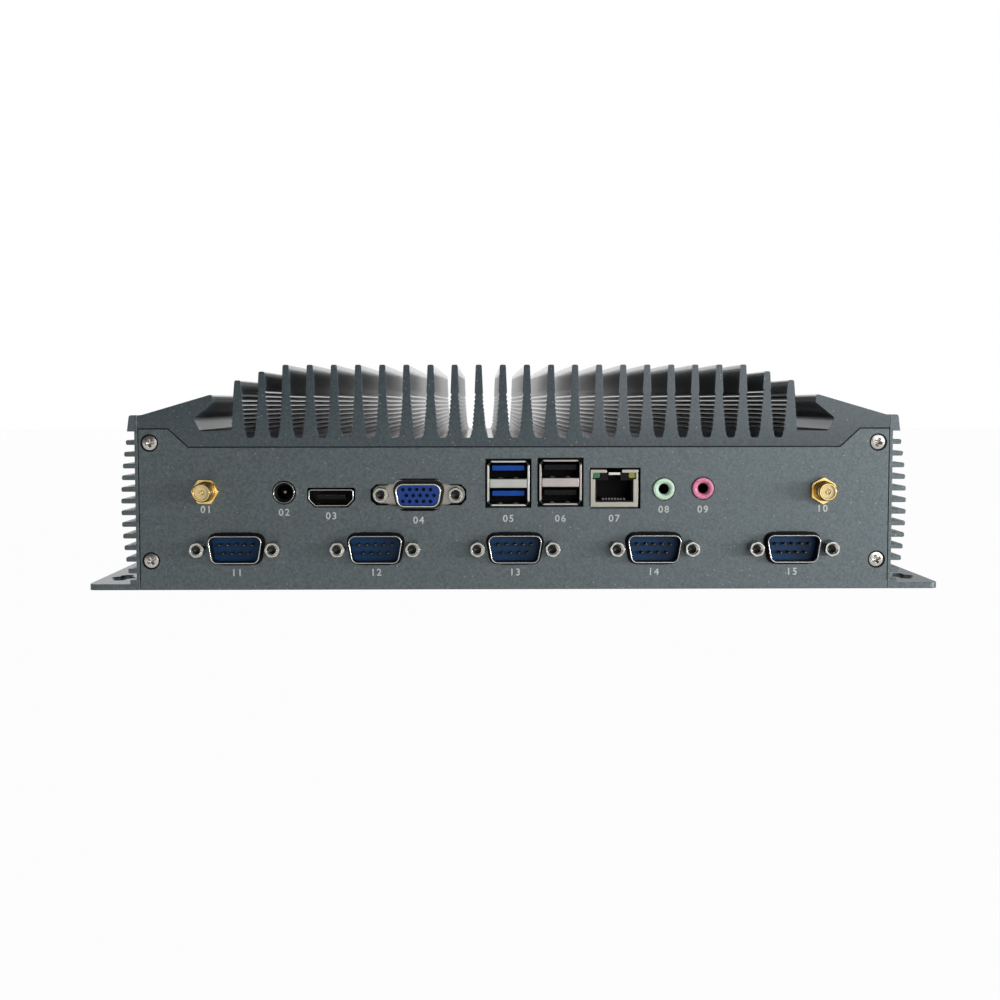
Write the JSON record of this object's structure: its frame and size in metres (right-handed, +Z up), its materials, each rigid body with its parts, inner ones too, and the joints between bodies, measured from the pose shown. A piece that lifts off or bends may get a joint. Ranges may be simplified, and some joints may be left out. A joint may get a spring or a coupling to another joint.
{
  "type": "fanless industrial computer",
  "caption": "Low fanless industrial computer: finned top and side heat sinks on a flat base with keyhole mounting ears, and one panel of serial, video, data, network and audio sockets.",
  "frame": {"origin": "middle of the base plate's underside", "axes": "+Z up out of the base towards the fins, -Y out of the socket panel, +X along the width to the right of a person facing the sockets"},
  "size_m": [0.285, 0.1996, 0.075],
  "materials": {
    "anodised_case": "fine dark slate anodising with a faint sparkle",
    "dark_screw": "nickel plated, dull",
    "nickel_shell": "bright nickel plating",
    "nickel_screw": "nickel plating, soft gloss",
    "gold_plate": "gold plating, bright",
    "cream_insulator": "cream fluoropolymer",
    "black_plastic": "black moulded plastic",
    "video_blue": "royal blue moulded plastic",
    "serial_blue": "dark blue moulded plastic",
    "data_blue": "blue moulded plastic",
    "line_green": "mint green moulded plastic",
    "microphone_pink": "pink moulded plastic",
    "lamp_green": "translucent green lens",
    "lamp_yellow": "translucent yellow lens",
    "board_green": "green solder mask",
    "chip_black": "dark moulded package",
    "copper": "bare copper",
    "standoff_brass": "plain brass",
    "button_metal": "satin nickel"
  },
  "bodies": {
    "case": {"top_heatsink": "anodised_case", "side_heatsink_left": "anodised_case", "side_heatsink_right": "anodised_case", "base_plate": "anodised_case", "front_panel": "anodised_case", "rear_panel": "anodised_case", "base_screws": "dark_screw", "panel_screws": "dark_screw", "antenna_jack_left": "gold_plate", "antenna_jack_right": "gold_plate", "antenna_nuts": "gold_plate", "antenna_insulators": "cream_insulator", "antenna_contacts": "gold_plate", "power_jack_housing": "black_plastic", "power_jack_sleeve": "nickel_shell", "power_jack_pin": "nickel_shell", "digital_video_shell": "nickel_shell", "digital_video_insert": "black_plastic", "analog_video_shell": "nickel_shell", "analog_video_insert": "video_blue", "data_socket_shell_a": "nickel_shell", "data_socket_shell_b": "nickel_shell", "data_socket_insert_a": "data_blue", "data_socket_insert_b": "black_plastic", "network_jack_shell": "nickel_shell", "network_jack_housing": "black_plastic", "network_jack_contacts": "gold_plate", "network_lamp_green": "lamp_green", "network_lamp_yellow": "lamp_yellow", "line_jack": "line_green", "microphone_jack": "microphone_pink", "serial_pins": "gold_plate", "jackscrews": "nickel_screw", "main_board": "board_green", "processor": "chip_black", "heat_block": "copper", "memory_module": "board_green", "storage_card": "board_green", "wireless_card": "board_green", "serial_board": "board_green", "board_link_header": "black_plastic", "board_standoffs": "standoff_brass", "board_screws": "nickel_screw", "power_switch": "black_plastic", "serial_shell_1": "nickel_shell", "serial_insert_1": "serial_blue", "serial_shell_2": "nickel_shell", "serial_insert_2": "serial_blue", "serial_shell_3": "nickel_shell", "serial_insert_3": "serial_blue", "serial_shell_4": "nickel_shell", "serial_insert_4": "serial_blue", "serial_shell_5": "nickel_shell", "serial_insert_5": "serial_blue"},
    "button": {"power_button": "button_metal"}
  },
  "joints": [
    {"name": "power_button_press", "type": "slide", "parent": "case", "child": "button", "axis": [0, -1, 0], "range_m": [0, 0.0015], "stiffness_N_per_m": 800, "springref_m": -0.0012}
  ]
}
